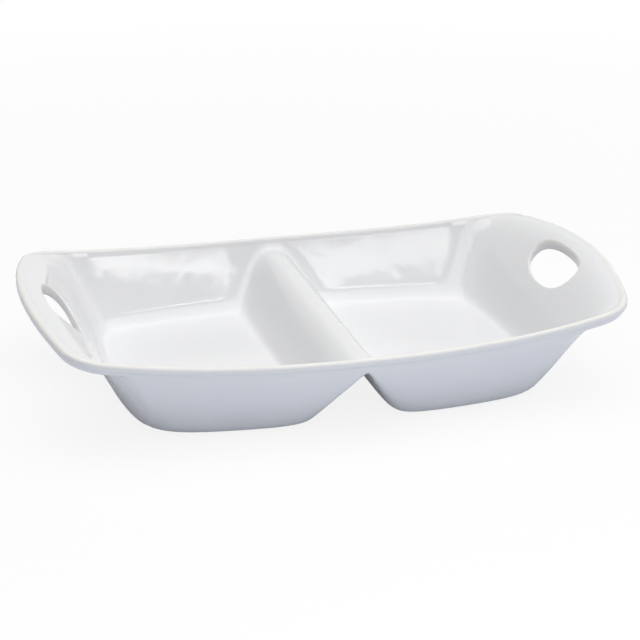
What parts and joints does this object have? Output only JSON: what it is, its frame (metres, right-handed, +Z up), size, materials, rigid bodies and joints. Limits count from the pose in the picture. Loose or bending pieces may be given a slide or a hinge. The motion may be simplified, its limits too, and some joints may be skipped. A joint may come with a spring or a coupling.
{
  "type": "chip and dip server",
  "caption": "Divided serving dish: deep wells side by side with a hollow divider between them, a rim swept up at the ends and a pierced handle at each end.",
  "frame": {"origin": "middle of the footprint, on the surface the dish stands on", "axes": "+X along the length towards the right handle, +Y across towards the far side, +Z up"},
  "size_m": [0.4, 0.252, 0.0742],
  "materials": {
    "glaze": "glossy white glaze",
    "bare_clay": "matt unglazed stoneware"
  },
  "bodies": {
    "root": {"left_well": "glaze", "right_well": "glaze", "divider": "glaze", "rim": "glaze", "left_handle": "glaze", "right_handle": "glaze", "left_foot_ring": "bare_clay", "right_foot_ring": "bare_clay"}
  },
  "joints": []
}
